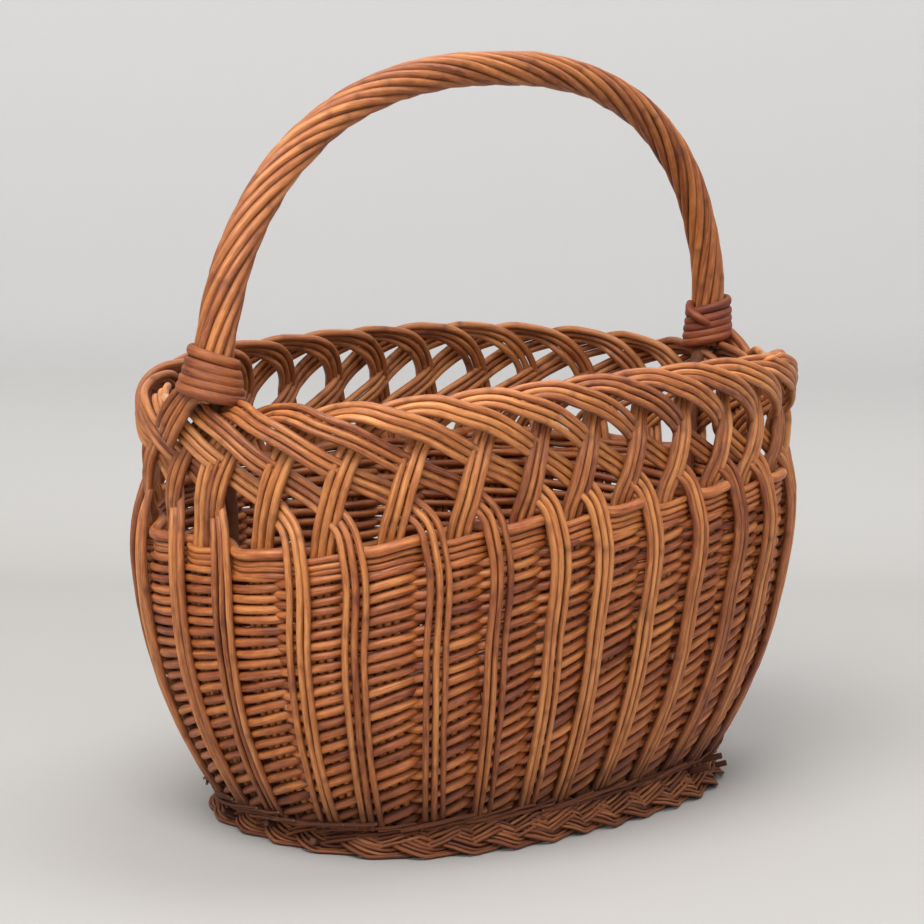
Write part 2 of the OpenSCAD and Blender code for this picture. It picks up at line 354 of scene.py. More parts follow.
def willow(name, dark, middle, light, rough=0.48, coat=0.1):
    """Varnished willow: long streaks, patches, per-rod tone, bud scars, grime with painted shade,
    and pale cut ends.
    """
    material = bpy.data.materials.new(name)
    material.use_nodes = True
    nodes, links = material.node_tree.nodes, material.node_tree.links
    shader = nodes["Principled BSDF"]

    def attribute(label):
        node = nodes.new("ShaderNodeAttribute")
        node.attribute_name = label
        return node

    def math_node(kind, a, b):
        node = nodes.new("ShaderNodeMath")
        node.operation = kind
        for socket, value in zip(node.inputs, (a, b)):
            if isinstance(value, (int, float)):
                socket.default_value = value
            else:
                links.new(value, socket)
        return node.outputs[0]

    def noise(stretch, detail, roughness):
        scale = nodes.new("ShaderNodeVectorMath")
        scale.operation = "MULTIPLY"
        scale.inputs[1].default_value = stretch
        links.new(grain.outputs["Vector"], scale.inputs[0])
        node = nodes.new("ShaderNodeTexNoise")
        node.inputs["Scale"].default_value = 1.0
        node.inputs["Detail"].default_value = detail
        node.inputs["Roughness"].default_value = roughness
        links.new(scale.outputs[0], node.inputs["Vector"])
        return node.outputs["Fac"]

    grain, tone = attribute("grain"), attribute("tone")
    dirt, cut = attribute("dirt"), attribute("cut")
    # Each noise is fine across the rod, the first two numbers, and drawn out along it.
    streak = noise((900, 900, 40), 4, 0.65)
    mottle = noise((420, 420, 130), 3, 0.6)
    patch = noise((160, 160, 22), 3, 0.55)
    fibre = noise((4200, 4200, 120), 2, 0.5)

    blend = math_node("MULTIPLY", tone.outputs["Fac"], 0.62)
    for pattern, weight in ((streak, 1.15), (patch, 0.8), (mottle, 0.7)):
        change = math_node("MULTIPLY", math_node("SUBTRACT", pattern, 0.5), weight)
        blend = math_node("ADD", blend, change)
    blend = math_node("ADD", blend, 0.19)

    ramp = nodes.new("ShaderNodeValToRGB")
    ramp.color_ramp.elements[0].position = 0.12
    ramp.color_ramp.elements[0].color = (*dark, 1)
    ramp.color_ramp.elements[1].position = 0.9
    ramp.color_ramp.elements[1].color = (*light, 1)
    ramp.color_ramp.elements.new(0.5).color = (*middle, 1)
    links.new(blend, ramp.inputs["Fac"])

    def mix(factor, colour, other):
        node = nodes.new("ShaderNodeMix")
        node.data_type = "RGBA"
        links.new(factor, node.inputs["Factor"])
        links.new(colour, node.inputs["A"])
        node.inputs["B"].default_value = (*other, 1)
        return node.outputs["Result"]

    # Mixes in the grime and shade colour: grime in some places, and painted shade in the gaps and
    # recesses in others. Cut ends stay pale only where there is none of it.
    grime_and_shade = math_node("MULTIPLY", dirt.outputs["Fac"], math_node("ADD", patch, 0.35))
    clean_and_unshaded = math_node("SUBTRACT", 1.0, dirt.outputs["Fac"])
    pale = math_node("MULTIPLY", math_node("MULTIPLY", cut.outputs["Fac"], 0.65), clean_and_unshaded)
    colour = mix(pale, mix(grime_and_shade, ramp.outputs["Color"], GRIME_AND_SHADE), CUT_WOOD)
    links.new(colour, shader.inputs["Base Color"])

    roughness = math_node("ADD", math_node("MULTIPLY", streak, 0.25), rough - 0.12)
    roughness = math_node("ADD", roughness, math_node("MULTIPLY", dirt.outputs["Fac"], 0.3))
    links.new(roughness, shader.inputs["Roughness"])
    shader.inputs["Coat Weight"].default_value = coat
    shader.inputs["Coat Roughness"].default_value = 0.3

    relief = math_node("ADD", math_node("MULTIPLY", streak, 0.7), math_node("MULTIPLY", fibre, 0.3))
    bump = nodes.new("ShaderNodeBump")
    bump.inputs["Strength"].default_value = 0.6
    bump.inputs["Distance"].default_value = 0.25 * MM
    links.new(relief, bump.inputs["Height"])
    links.new(bump.outputs["Normal"], shader.inputs["Normal"])
    return material


# Each willow's name, then its dark, middle and light colour.
STAKE_WILLOW = willow(
    "stake_willow", (0.17, 0.031, 0.007), (0.42, 0.130, 0.030), (0.68, 0.275, 0.080))
WEAVE_WILLOW = willow(
    "weave_willow", (0.15, 0.027, 0.007), (0.39, 0.104, 0.022), (0.65, 0.238, 0.058))
HANDLE_WILLOW = willow(
    "handle_willow", (0.14, 0.029, 0.007), (0.38, 0.110, 0.025), (0.61, 0.230, 0.060))
LAPPING_WILLOW = willow(
    "lapping_willow", (0.11, 0.020, 0.005), (0.27, 0.068, 0.015), (0.42, 0.132, 0.029),
    rough=0.58, coat=0.0)
# A darker copy of the lapping willow for the right lapping: painted shade for the side away from
# the key light.
SHADED_LAPPING_WILLOW = willow(
    "shaded_lapping_willow", (0.08, 0.012, 0.004), (0.21, 0.040, 0.009), (0.34, 0.085, 0.020),
    rough=0.55, coat=0.0)
INNER_WILLOW = willow(
    "inner_willow", (0.07, 0.018, 0.006), (0.20, 0.060, 0.017), (0.34, 0.13, 0.042),
    rough=0.55, coat=0.05)
FOOT_WILLOW = willow(
    "foot_willow", (0.062, 0.016, 0.005), (0.22, 0.060, 0.016), (0.46, 0.165, 0.047),
    rough=0.65, coat=0.0)


# ---------------------------------------------------------------- stakes: uprights, rim and ribs

# One group's way: up inside the close weave, leaning through the open lattice, over the rim,
# down past the next groups and down the outside as a rib. Pitches along, height, distance
# outside the middle of the wall, and degrees by which the band of rods lies back on the rim.
STAKE_ROUTE = [
    (0.00, 14, 0, 0),
    (0.00, 60, 0, 0),
    (0.00, 110, 0, 0),
    (0.00, 150, 0, 0),
    (0.00, 170, -1, 0),
    (0.04, 187, -1.5, 0),
    (0.17, 204, 2.8, 0),
    (0.31, 221, 3, 0),
    (0.48, 236, -1.5, 0),
    (0.76, 246.5, -5, 10),
    (1.06, 252, -4, 35),
    (1.40, 254.5, -1, 45),
    (1.72, 254, 3, 30),
    (2.05, 250, 6.5, 10),
    (2.53, 243, 7.5, 0),
    (3.05, 231, 5, 0),
    (3.45, 221, -2, 0),
    (4.05, 207, -2.2, 0),
    (4.38, 195, 4, 0),
    (4.50, 179, 7.2, 0),
    (4.50, 120, 7.2, 0),
    (4.50, 65, 7.2, 0),
    (4.50, 17, 7.0, 0),
]
STAKE_BUTT = 4.9 * MM
STAKE_TIP = 3.5 * MM
STAKE_GAP = 0.1 * MM

# How far the ribs on the front stand from halfway between two stakes, in pitches. The first of
# them belongs to this stake, and a rib starts to stray on its way down through the lattice.
FIRST_FRONT_STAKE = 11
FRONT_RIB_STRAY = (-0.08, 0.27, 0.03, 0.18, 0.11, 0.10, -0.04, 0.03, 0.0, 0.0)
STRAY_START = 3.3
STRAY_LENGTH = 1.1

# The group in the middle of the left end has two short rods added on one side.
SHORT_ROD_STAKE = STAKES // 2
SHORT_ROD_TOP = 238 * MM


def stake_group(index, node):
    """Three tapering rods that lie side by side all the way, here and there a little apart."""
    group = RodMesh("willow_" + node)
    front = index - FIRST_FRONT_STAKE
    stray = RNG.uniform(-0.1, 0.1)
    if 0 <= front < len(FRONT_RIB_STRAY):
        stray = FRONT_RIB_STRAY[front]
    route = []
    for along, *rest in STAKE_ROUTE:
        strayed = stray * float(smooth_step((along - STRAY_START) / STRAY_LENGTH))
        route.append((along + strayed, *rest))
    points, normals, height = route_line(index + RNG.uniform(-0.03, 0.03), route, 3.2 * MM)
    side = side_vectors(points, normals)
    run = run_along(points)
    share = run / run[-1]
    taper = STAKE_BUTT - (STAKE_BUTT - STAKE_TIP) * share ** 1.3
    group_tone = RNG.uniform(0.35, 0.65)
    # Darker towards the bottom.
    dirt = 0.95 * smooth_step((50 * MM - height) / (36 * MM))
    parting = RNG.uniform(0.3, 2.4, 2) * MM * smooth_step((share - 0.6) / 0.15)[:, None]
    parting = parting * (RNG.uniform(0, 1, 2) < 0.5)
    for place in (-1, 0, 1):
        thickness = taper * RNG.uniform(0.92, 1.07)
        gap = parting[:, 0] if place < 0 else parting[:, 1]
        across = place * (taper + STAKE_GAP + gap) + wobble(run, 0.16, 0.3 * MM)
        depth = wobble(run, 0.12, 0.4 * MM)
        line = points + side * across[:, None] + normals * depth[:, None]
        tone = np.clip(group_tone + RNG.uniform(-0.3, 0.3) + wobble(run, 0.35, 0.12), 0, 1)
        group.rod(line, normals, thickness / 2, 12, tone, dirt, seam_shade=0.45)
    if index == SHORT_ROD_STAKE:
        top = int(np.argmax(height > SHORT_ROD_TOP))
        for place in (-2, -3):
            across = place * (taper[:top] + STAKE_GAP) + 1.5 * MM * share[:top]
            line = points[:top] + side[:top] * across[:, None]
            tone = RNG.uniform(0.5, 0.9)
            group.rod(line, normals[:top], STAKE_BUTT / 2, 12, tone, dirt[:top], seam_shade=0.45)
    group.build(STAKE_WILLOW, "stake_willow", node)


for number, stake_node in enumerate(STAKE_NODES):
    stake_group(number, stake_node)


# ---------------------------------------------------------------- close weave

WEAVE_LOW = 17 * MM
WEAVE_HIGH = WAIST_HEIGHT - 13.5 * MM
# Climb of a weaver in one pitch, its thickness and the rise of its strokes, low and high up.
CLIMB_LOW = 3.95 * MM
CLIMB_HIGH = 2.95 * MM
WEAVER_LOW = 5.5 * MM
WEAVER_HIGH = 4.8 * MM
SLANT_LOW = 0.40
SLANT_HIGH = 0.06
# Half of the room that the stakes take between the weavers in front and behind.
STAKE_ROOM = 1.9 * MM
# How much climb a weaver loses for each unit of height that it gains.
CLIMB_LOSS = (CLIMB_LOW - CLIMB_HIGH) / (WEAVE_HIGH - WEAVE_LOW)


def weave_height(phase):
    """Height of a weaver after so many pitches: each pitch climbs less than the one before."""
    return WEAVE_LOW + CLIMB_LOW / CLIMB_LOSS * (1 - np.exp(-CLIMB_LOSS * phase))


def weave_phase(height):
    """Pitches that a weaver takes to reach a height."""
    return -math.log(1 - (height - WEAVE_LOW) * CLIMB_LOSS / CLIMB_LOW) / CLIMB_LOSS


def weave_swing(phase):
    """In front of one stake group, then behind the next; it crosses over soon after each group."""
    return np.tanh(1.5 * np.cos(math.pi * (phase + 0.14))) / math.tanh(1.5)


def weave_slant(phase):
    """Each stroke climbs steeply in front of its stakes and drops back behind the next ones."""
    return np.arcsin(0.95 * np.sin(math.pi * (phase + 0.1))) / math.asin(0.95)


WAIST_STEP = 3.9 * MM


def waist_step(pitch, height):
    """The weave is packed up a little higher everywhere but round the left end."""
    px, _ = plan(pitch)
    return WAIST_STEP * smooth_step((px + 0.96) / 0.28) * np.clip(height / WAIST_HEIGHT, 0, 1) ** 2


def weavers(name, low, high, node):
    """French randing: one weaver from every stake, each climbing one row for every pitch."""
    mesh = RodMesh(name)
    for start in range(STAKES):
        phase = np.arange(weave_phase(low), weave_phase(high), 1 / 12)
        run = phase * PITCH
        level = weave_height(phase)
        fine = np.clip((level - WEAVE_LOW) / (WEAVE_HIGH - WEAVE_LOW), 0, 1)
        thickness = WEAVER_LOW + (WEAVER_HIGH - WEAVER_LOW) * fine
        climb = CLIMB_LOW + (CLIMB_HIGH - CLIMB_LOW) * fine
        swing = (STAKE_ROOM + thickness / 2) * weave_swing(phase)
        slant = SLANT_LOW + (SLANT_HIGH - SLANT_LOW) * smooth_step((fine - 0.4) / 0.4)
        stroke = slant * (thickness + climb) * weave_slant(phase)
        height = level + stroke + wobble(run, 0.11, 0.6 * MM)
        outside = swing + wobble(run, 0.09, 0.35 * MM)
        pitch = start + phase + wobble(run, 0.2, 0.03)
        height = height + waist_step(pitch, height)
        points = wall(pitch, height, outside)
        normals = wall_normal(pitch, height)
        tone = np.clip(RNG.uniform(0.2, 0.75) + wobble(run, 0.12, 0.2), 0, 1)
        # Darker towards the bottom, and painted shade where the weaver passes behind the stakes,
        # with less of it higher up.
        dirt = 0.7 * smooth_step((55 * MM - height) / (42 * MM))
        dirt = dirt + (0.45 - 0.35 * fine) * np.clip(-weave_swing(phase), 0, 1)
        thickness = thickness * RNG.uniform(0.90, 1.04) * (1 + wobble(run, 0.16, 0.10))
        mesh.rod(points, normals, thickness / 2, 10, tone, dirt, seam_shade=0.4, scars=False)
    mesh.build(WEAVE_WILLOW, "weave_willow", node)


# The lower half ends, and the upper one begins, at this height.
SPLIT = upper_low.z + SADDLE * 0.7
weavers("willow_siding_lower", WEAVE_LOW, SPLIT, "siding_lower")
weavers("willow_siding_upper", SPLIT, WEAVE_HIGH, "siding_upper")


WALE_STEP = 3.5 * MM


def wale_rods():
    """Level from the waist, thickness, sign of the groups that it passes in front of, and dip."""
    rods = [(-3.2 * MM, 6.4 * MM, 1, 0.6 * MM)]
    for k in range(4):
        rods.append((-5.6 * MM - WALE_STEP * k, 3.7 * MM - 0.1 * MM * k, -1, 0.9 * MM))
    for k in range(3):
        rods.append((-8.6 * MM - WALE_STEP * k, 3.5 * MM, 1, 0.3 * MM))
    return rods


def wale():
    """One thick and three thin rods pass in front of every second group, four thin ones between.

    Each rod dips a little where it is in front.
    """
    mesh = RodMesh("willow_waist_wale")
    steps = STAKES * 14
    pitch = np.arange(steps) * STAKES / steps
    run = pitch * PITCH
    turn = np.tanh(1.3 * np.cos(math.pi * pitch)) / math.tanh(1.3)
    for level, thickness, front, dip in wale_rods():
        swing = (2.6 * MM + thickness / 2) * turn * front
        height = WAIST_HEIGHT + level - dip * turn * front + 0.8 * MM * np.sin(2 * math.pi * pitch)
        height = height + wobble(run, 0.3, 0.4 * MM)
        height = height + waist_step(pitch, height)
        outside = swing + wobble(run, 0.2, 0.25 * MM)
        points = wall(pitch, height, outside)
        normals = wall_normal(pitch, height)
        tone = np.clip(0.6 + wobble(run, 0.25, 0.25), 0, 1)
        # Painted shade where the rod passes behind the stake groups.
        dirt = 0.35 * np.clip(-turn * front, 0, 1)
        mesh.rod(points, normals, thickness / 2, 12, tone, dirt, seam_shade=0.4, closed=True, scars=False)
    mesh.build(WEAVE_WILLOW, "weave_willow", "waist_wale")


wale()


# ---------------------------------------------------------------- plaited foot

PLAIT_TURNS = 11
PLAIT_ROD = 2.5 * MM
PLAIT_LEAN = math.radians(50)
# The plait's middle line: half its length and width, and its height. Its bundles swing this
# far to both sides of the line and lift this far off it.
PLAIT_HALF = (foot_high.x - 10 * MM, foot_high.y - 10 * MM)
PLAIT_HEIGHT = 9.6 * MM
PLAIT_REACH = 6.3 * MM
PLAIT_LIFT = 2.8 * MM
# A bundle has an outer and an inner layer: its place, in rods, and its number of rods.
PLAIT_LAYERS = ((0.55, 6), (-0.55, 4))


def plait():
    """Three flat bundles of thin rods, plaited round the foot and leaning against the wall."""
    mesh = RodMesh("willow_foot_plait")
    steps = 420
    pitch = np.arange(steps) * STAKES / steps
    run = pitch * PITCH
    px, py = plan(pitch)
    centre = np.stack([PLAIT_HALF[0] * px, PLAIT_HALF[1] * py, np.full(steps, PLAIT_HEIGHT)], -1)
    along = unit(np.roll(centre, -1, 0) - np.roll(centre, 1, 0))
    outward = np.cross(along, UP)
    wide = -outward * math.cos(PLAIT_LEAN) + UP * math.sin(PLAIT_LEAN)
    face = outward * math.sin(PLAIT_LEAN) + UP * math.cos(PLAIT_LEAN)
    for strand in range(3):
        phase = 2 * math.pi * (PLAIT_TURNS * pitch / STAKES + strand / 3) + wobble(run, 0.31, 0.3)
        phase = phase - 0.5 * np.sin(phase)
        across = PLAIT_REACH * np.sin(phase)
        lift = PLAIT_LIFT * np.sin(2 * phase)
        middle = centre + wide * across[:, None] + face * lift[:, None]
        direction = unit(np.roll(middle, -1, 0) - np.roll(middle, 1, 0))
        bundle_side = unit(np.cross(direction, face))
        strand_tone = RNG.uniform(0.35, 0.65)
        for layer, rods in PLAIT_LAYERS:
            for rod in range(rods):
                place = (rod - (rods - 1) / 2) * PLAIT_ROD * 1.04
                sideways = place + wobble(run, 0.09, 0.6 * MM)
                depth = layer * PLAIT_ROD * 0.9 + wobble(run, 0.06, 0.8 * MM)
                line = middle + bundle_side * sideways[:, None] + face * depth[:, None]
                line[:, 2] = np.maximum(line[:, 2], PLAIT_ROD * 0.62)
                rod_tone = strand_tone + RNG.uniform(-0.35, 0.35)
                tone = np.clip(rod_tone + wobble(run, 0.12, 0.2), 0, 1)
                # Darker all over, and more so towards the top of the plait.
                dirt = 0.25 + 0.3 * smooth_step((line[:, 2] - 12 * MM) / (8 * MM))
                radius = PLAIT_ROD / 2 * RNG.uniform(0.8, 1.12)
                mesh.rod(line, face, radius, 7, tone, dirt, seam_shade=0.6, closed=True, scars=False)
    plait_edges(mesh)
    mesh.build(FOOT_WILLOW, "foot_willow", "foot_plait")


# Cut ends that stick out of the foot: pitches from the end of the oval, and height in mm.
LEFT_FOOT_ENDS = ((-1.2, 9), (-0.55, 16), (0.1, 11), (0.6, 18), (1.2, 7))
RIGHT_FOOT_ENDS = ((-4.4, 17), (-3.7, 19), (-3.1, 10), (-1.5, 17), (0.8, 16))


def plait_edges(mesh):
    """Loose ends of thin rods along the top of the plait, and the cut ends that stick out of it."""
    for first in np.arange(0, STAKES, 0.42):
        length = RNG.uniform(0.9, 2.6)
        pitch = first + np.linspace(0, length, 26)
        run = (pitch - first) * PITCH
        start, finish = RNG.uniform(12, 17), RNG.uniform(18, 22.5)
        height = (start + (finish - start) * (pitch - first) / length) * MM
        height = height + wobble(run, 0.05, 0.5 * MM)
        outside = RNG.uniform(8, 12) * MM + wobble(run, 0.05, 0.6 * MM)
        points = wall(pitch, height, outside)
        tone = RNG.uniform(0.1, 0.7)
        radius = RNG.uniform(1.0, 1.6) * MM * (1 - 0.35 * (pitch - first) / length)
        normals = wall_normal(pitch, height)
        mesh.rod(points, normals, radius, 7, tone, 0.55, seam_shade=0.4, scars=False)
    ends = [(STAKES / 2 + along, height) for along, height in LEFT_FOOT_ENDS]
    ends.extend(RIGHT_FOOT_ENDS)
    for place, height in ends:
        px, py = plan(np.full(8, place))
        reach = np.linspace(-10, 1.5, 8) * MM
        points = np.stack([(foot_high.x + reach) * px, (foot_high.y + reach) * py,
                           height * MM + 0.3 * reach], -1)
        normals = np.tile(UP, (8, 1))
        mesh.rod(points, normals, RNG.uniform(1.6, 2.3) * MM, 10, 0.3, 0.9, scars=False)


plait()


# ---------------------------------------------------------------- base

base_low, base_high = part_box("base_weave")
BASE_HALF = (base_high.x, base_high.y)
BASE_LEVEL = (base_low.z + base_high.z) / 2
LONG_STICKS = 3
LONG_STICK_STEP = 21 * MM
CROSS_STICKS = 7
BASE_RINGS = 24
RING_PASSES = 30
# The last ring meets the wall, this far past the base's box at the ends and within it at the sides.
RING_PAST_END = 9 * MM
RING_SHORT_OF_SIDE = 1 * MM


def base_sticks():
    """Long sticks, with the cross sticks a little lower."""
    mesh = RodMesh("willow_base_sticks")

    def stick(start, end, thickness):
        points = np.linspace(start, end, 24)
        normals = np.tile(UP, (24, 1))
        mesh.rod(points, normals, thickness / 2, 12, RNG.uniform(0.3, 0.7), 0.1)

    for k in range(LONG_STICKS):
        reach = BASE_HALF[0] * 0.96
        y = (k - LONG_STICKS // 2) * LONG_STICK_STEP
        stick((-reach, y, BASE_LEVEL), (reach, y, BASE_LEVEL), 6 * MM)
    for k in range(CROSS_STICKS):
        x = (k - CROSS_STICKS // 2) * BASE_HALF[0] * 0.22
        reach = BASE_HALF[1] * (1 - (abs(x) / BASE_HALF[0]) ** 3) ** (1 / 3) * 0.97
        level = BASE_LEVEL - 1 * MM
        stick((x, -reach, level), (x, reach, level), 5.5 * MM)
    mesh.build(INNER_WILLOW, "inner_willow", "base_long_sticks", "base_cross_sticks")


def base_weave():
    """Rings that pass over and under in turn: long and narrow in the middle, an oval outside."""
    mesh = RodMesh("willow_base_weave")
    steps = 300
    pitch = np.arange(steps) * STAKES / steps
    px, py = plan(pitch)
    straight = BASE_HALF[0] - BASE_HALF[1]
    for ring in range(BASE_RINGS):
        share = 0.01 + 0.99 * (ring + 0.5) / BASE_RINGS
        x = BASE_HALF[1] * share * px + straight * np.sign(px) * np.minimum(1, np.abs(px) * 1.6)
        y = BASE_HALF[1] * share * py
        fit = share ** 2
        x = (1 - fit) * x + fit * (BASE_HALF[0] + RING_PAST_END) * share * px
        y = (1 - fit) * y + fit * (BASE_HALF[1] - RING_SHORT_OF_SIDE) * share * py
        swing = 2.3 * MM * np.cos(math.pi * RING_PASSES * pitch / STAKES + math.pi * (ring % 2))
        points = np.stack([x, y, BASE_LEVEL + swing], -1)
        normals = np.tile(UP, (steps, 1))
        run = run_along(points)
        tone = np.clip(RNG.uniform(0.3, 0.7) + wobble(run, 0.5, 0.15), 0, 1)
        mesh.rod(points, normals, 2 * MM, 8, tone, 0.15, closed=True, scars=False)
    mesh.build(INNER_WILLOW, "inner_willow", "base_weave")


base_sticks()
base_weave()


# ---------------------------------------------------------------- handle

# The bow is the upper half of an oval with full corners, which leans to the right.
BOW_POWER = 2.37
BOW_HALF = (core_high.x - core_low.x) / 2 - 4.7 * MM
BOW_SHIFT = (core_high.x + core_low.x) / 2 - 0.3 * MM
BOW_LEAN = 10 * MM
BOW_TOP = core_high.z - 4.5 * MM
BOW_FOOT = RIM_HEIGHT - 5 * MM
BOW_START = BOW_FOOT + 2 * MM
CORE_RADIUS = 5 * MM
HANDLE_TWISTS = 3
HANDLE_ROD_RADIUS = 2.55 * MM
HANDLE_ROD_REACH = 7.6 * MM
# The rods lie further out and are thicker at the left foot of the bow.
HANDLE_SPREAD = 0.9 * MM


def bow_curve():
    """Middle of the bow from the left lapping to the right one, and its outward direction."""
    first = math.asin(((BOW_START - BOW_FOOT) / (BOW_TOP - BOW_FOOT)) ** (BOW_POWER / 2))
    angle = math.pi - np.linspace(first, math.pi - first, 700)
    risen = np.abs(np.sin(angle)) ** (2 / BOW_POWER)
    x = BOW_SHIFT + BOW_HALF * signed_power(np.cos(angle), 2 / BOW_POWER) + BOW_LEAN * risen
    z = BOW_FOOT + (BOW_TOP - BOW_FOOT) * risen
    points = np.stack([x, np.zeros_like(x), z], -1)
    points, _ = resample(points, np.zeros((len(points), 1)), 3 * MM)
    along = unit(np.gradient(points, axis=0))
    outward = np.stack([-along[:, 2], np.zeros(len(points)), along[:, 0]], -1)
    return points, outward


# The core's ends inside the wall: height, and distance outside the middle of the wall, in mm.
LEG_ROUTE = ((100, -14), (150, -14), (200, -13), (235, -8))


def leg(side):
    """The core's end, from inside the wall up to the lapping."""
    points = []
    for height, outside in LEG_ROUTE:
        half = float(wall_half(np.array(height * MM), 0)) + outside * MM
        points.append((side * half, 0, height * MM - SADDLE))
    return points


def handle_core(bow):
    """One thick rod from inside the wall at one end, through the bow, to the other end."""
    mesh = RodMesh("willow_handle_core")
    route = np.array(leg(-1) + [tuple(point) for point in bow[4:-4:12]] + leg(1)[::-1])
    knots = run_along(route)
    line = hermite(knots, route, np.linspace(0, knots[-1], 300))
    mesh.rod(line, np.tile(BACK, (300, 1)), CORE_RADIUS, 12, 0.4, 0.3)
    mesh.build(INNER_WILLOW, "inner_willow", "handle_core")


def handle_rods(bow, outward):
    """Rods twisted round the core like a rope, more slowly near the two lappings."""
    run = run_along(bow)
    share = run / run[-1]
    easing = smooth_step(np.minimum(share, 1 - share) / 0.16)
    rate = 0.6 + 0.4 * easing
    turns = np.concatenate([[0], np.cumsum((rate[1:] + rate[:-1]) / 2 * np.diff(run))])
    turns = turns / turns[-1] * 2 * math.pi * HANDLE_TWISTS
    spread = HANDLE_SPREAD * smooth_step(1 - share / 0.3)
    for k, node in enumerate(HANDLE_NODES):
        mesh = RodMesh("willow_" + node)
        start = 2 * math.pi * k / len(HANDLE_NODES)
        reach = HANDLE_ROD_REACH + spread + wobble(run, 0.2, 0.3 * MM)
        swing = start - turns + wobble(run, 0.3, 0.06)
        radial = outward * np.cos(swing)[:, None] + BACK * np.sin(swing)[:, None]
        line = bow + radial * reach[:, None]
        tone = np.clip(RNG.uniform(0.25, 0.75) + wobble(run, 0.4, 0.14), 0, 1)
        radius = HANDLE_ROD_RADIUS * RNG.uniform(0.93, 1.07) * (1 + spread / (12 * MM))
        mesh.rod(line, radial, radius, 12, tone, 0.0, seam_shade=0.5)
        mesh.build(HANDLE_WILLOW, "handle_willow", node)


bow_points, bow_outward = bow_curve()
handle_core(bow_points)
handle_rods(bow_points, bow_outward)


# ---------------------------------------------------------------- lappings and rod ends

LAPPING_TURNS = 5
LAPPING_STEP = 4.6 * MM
LAPPING_RADIUS = 3.1 * MM
LAPPING_FLAT = 0.72
FRONT_RIGHT = np.array([0.71, -0.70, 0])


def lapping(side, start, reach, flare, slope, node):
    """One rod wound round the foot of the bow, sloping, and wider towards the rim.

    It starts at this angle at the rim, ends at this reach from the middle of the bow and is
    wider by the flare at its start. The slope is the rise towards the front right.
    """
    mesh = RodMesh("willow_" + node)
    line, outward = bow_points, bow_outward
    if side > 0:
        line, outward = bow_points[::-1], bow_outward[::-1]
    run = run_along(line)
    turn = np.linspace(0, LAPPING_TURNS, LAPPING_TURNS * 40)
    place = 2 * MM + turn * LAPPING_STEP + 1.5 * MM * smooth_step(turn - 3.6)
    centre = np.stack([np.interp(place, run, line[:, i]) for i in range(3)], -1)
    out = unit(np.stack([np.interp(place, run, outward[:, i]) for i in range(3)], -1))
    swing = 2 * math.pi * turn + math.radians(start)
    radius = reach + flare * (1 - turn / LAPPING_TURNS) ** 1.2
    radius = radius + wobble(turn * 0.08, 0.1, 0.25 * MM)
    radial = out * np.cos(swing)[:, None] + BACK * np.sin(swing)[:, None]
    radial = radial * radius[:, None]
    points = centre + radial
    points[:, 2] += slope * (radial @ FRONT_RIGHT)
    tone = np.clip(0.5 + wobble(turn * 0.08, 0.1, 0.25), 0, 1)
    mesh.rod(points, unit(radial), LAPPING_RADIUS, 12, tone, 0.05, seam_shade=0.35, scars=False,
             flat=LAPPING_FLAT)
    return mesh


def left_lapping():
    """The first lapping spreads out over the rim."""
    mesh = lapping(-1, 135, 12.2 * MM, 5.8 * MM, -0.14, "left_lapping")
    mesh.build(LAPPING_WILLOW, "lapping_willow", "left_lapping")


def right_lapping():
    """The second lapping has its end tucked down over the left of its other turns."""
    mesh = lapping(1, 45, 12.4 * MM, 1.6 * MM, 0.2, "right_lapping")
    centre = bow_points[-9]
    share = np.linspace(0, 1, 24)
    angle = np.radians(150 + 80 * share)
    radial = np.stack([np.cos(angle), np.sin(angle), np.zeros(24)], -1)
    reach = (11.5 + 4.2 * np.sin(math.pi * share)) * MM
    route = centre + radial * reach[:, None]
    route[:, 2] += (2 - 13 * share) * MM
    mesh.rod(route, radial, 2.9 * MM, 12, 0.45, 0.1, scars=False)
    # The right lapping takes the darker willow, which is painted shade for the side away from the
    # key light.
    mesh.build(SHADED_LAPPING_WILLOW, "lapping_willow", "right_lapping")


left_lapping()
right_lapping()

# A handle rod's end, over the border and down the outside, in the terms of the stakes' route.
TAIL_ROUTE = [
    (-0.02, 268, 5, 30),
    (-0.17, 262, 10.5, 25),
    (-0.34, 254, 13, 8),
    (-0.51, 246, 13.5, 0),
    (-0.68, 238, 12, 0),
]
TAIL_RADIUS = 2.5 * MM

# Short cut ends that stick out under the rim: pitch, height, distance outside and radius.
LEFT_ENDS = ((13.95, 256, 7, 2.7), (14.15, 249, 9, 1.9))
RIGHT_ENDS = ((-4.3, 258.5, 5, 1.7), (-3.75, 259, 4, 1.6))


def cut_ends(mesh, places):
    """Each comes out of the wall, rising and turning a little along it."""
    for pitch, height, outside, radius in places:
        heights = (height + np.linspace(-3, 0, 7)) * MM
        reach = (outside + np.linspace(-6, 0, 7)) * MM
        points = wall(np.full(7, pitch) + np.linspace(0, 0.12, 7), heights, reach)
        normals = np.tile(UP, (7, 1))
        mesh.rod(points, normals, radius * MM, 10, 0.7, 0.0, scars=False)


def tails(name, first_pitch, ends, node):
    """Four ends of handle rods side by side, and the cut ends near them."""
    mesh = RodMesh(name)
    points, normals, _ = route_line(first_pitch, TAIL_ROUTE, 2.5 * MM)
    side = side_vectors(points, normals)
    run = run_along(points)
    for place in (-1.5, -0.5, 0.5, 1.5):
        across = place * 2 * TAIL_RADIUS + wobble(run, 0.1, 0.3 * MM)
        line = points + side * across[:, None]
        tone = RNG.uniform(0.3, 0.7)
        mesh.rod(line, normals, TAIL_RADIUS, 12, tone, 0.0, seam_shade=0.5)
    cut_ends(mesh, ends)
    mesh.build(HANDLE_WILLOW, "handle_willow", node)


tails("willow_left_tails", STAKES / 2, LEFT_ENDS, "left_tails")
tails("willow_right_tails", 0, RIGHT_ENDS, "right_tails")


# ---------------------------------------------------------------- floor, light and camera

